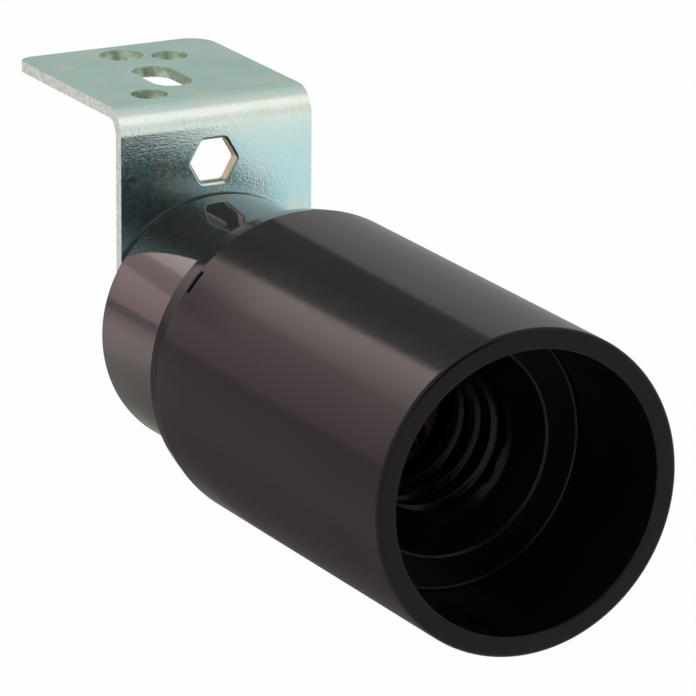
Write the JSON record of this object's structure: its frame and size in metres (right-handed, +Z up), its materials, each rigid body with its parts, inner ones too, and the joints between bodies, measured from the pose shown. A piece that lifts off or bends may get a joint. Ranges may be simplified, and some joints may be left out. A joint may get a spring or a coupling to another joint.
{
  "type": "lamp holder",
  "caption": "Small screw lamp holder with a black moulded cap and sleeve, carried on a zinc-plated steel angle bracket.",
  "frame": {"origin": "on the lamp axis, at the front face of the bracket's leg, inside the bore of the hollow nipple", "axes": "+Y back along the lamp axis, out through the cable entry; -Y is where the lamp's mouth faces; +Z up to the bracket's plate; +X to the right of someone who looks along +Y"},
  "size_m": [0.028, 0.0781, 0.034],
  "materials": {
    "black_plastic": "moulded, satin gloss",
    "cap_plastic": "moulded, high gloss",
    "block_plastic": "moulded, dull",
    "zinc_steel": "zinc plated and passivated",
    "plated_steel": "plated",
    "brass": "turned",
    "bronze_strip": "rolled strip"
  },
  "bodies": {
    "holder": {"bracket": "zinc_steel", "nipple": "zinc_steel", "nipple_nut": "zinc_steel", "lock_washer": "zinc_steel", "cap": "cap_plastic", "bush": "brass", "grub_screw": "plated_steel", "terminal_block": "block_plastic", "centre_terminal": "brass", "side_terminal": "brass", "centre_rivet": "brass", "side_rivet": "brass"},
    "sleeve": {"sleeve": "black_plastic"},
    "centre_tongue": {"centre_contact": "bronze_strip"},
    "side_tongue": {"side_contact": "bronze_strip"},
    "centre_clamp": {"centre_screw": "plated_steel", "centre_saddle": "plated_steel"},
    "side_clamp": {"side_screw": "plated_steel", "side_saddle": "plated_steel"}
  },
  "joints": [
    {"name": "sleeve_unscrew", "type": "slide", "parent": "holder", "child": "sleeve", "axis": [0, -1, 0], "range_m": [0, 0.02]},
    {"name": "centre_contact_flex", "type": "hinge", "parent": "holder", "child": "centre_tongue", "pos_m": [-0.00327, -0.02718, -0.00253], "axis": [-0.6122, 0, 0.7907], "range_deg": [0, 15], "stiffness_Nm_per_rad": 0.1, "deforming": ["centre_contact"]},
    {"name": "side_contact_flex", "type": "hinge", "parent": "holder", "child": "side_tongue", "pos_m": [0.00465, -0.02718, -0.00185], "axis": [-1, 0, 0], "range_deg": [0, 12], "stiffness_Nm_per_rad": 0.1, "deforming": ["side_contact"]},
    {"name": "centre_clamp_travel", "type": "slide", "parent": "holder", "child": "centre_clamp", "axis": [0, 1, 0], "range_m": [0, 0.0015]},
    {"name": "side_clamp_travel", "type": "slide", "parent": "holder", "child": "side_clamp", "axis": [0, 1, 0], "range_m": [0, 0.0015]}
  ]
}
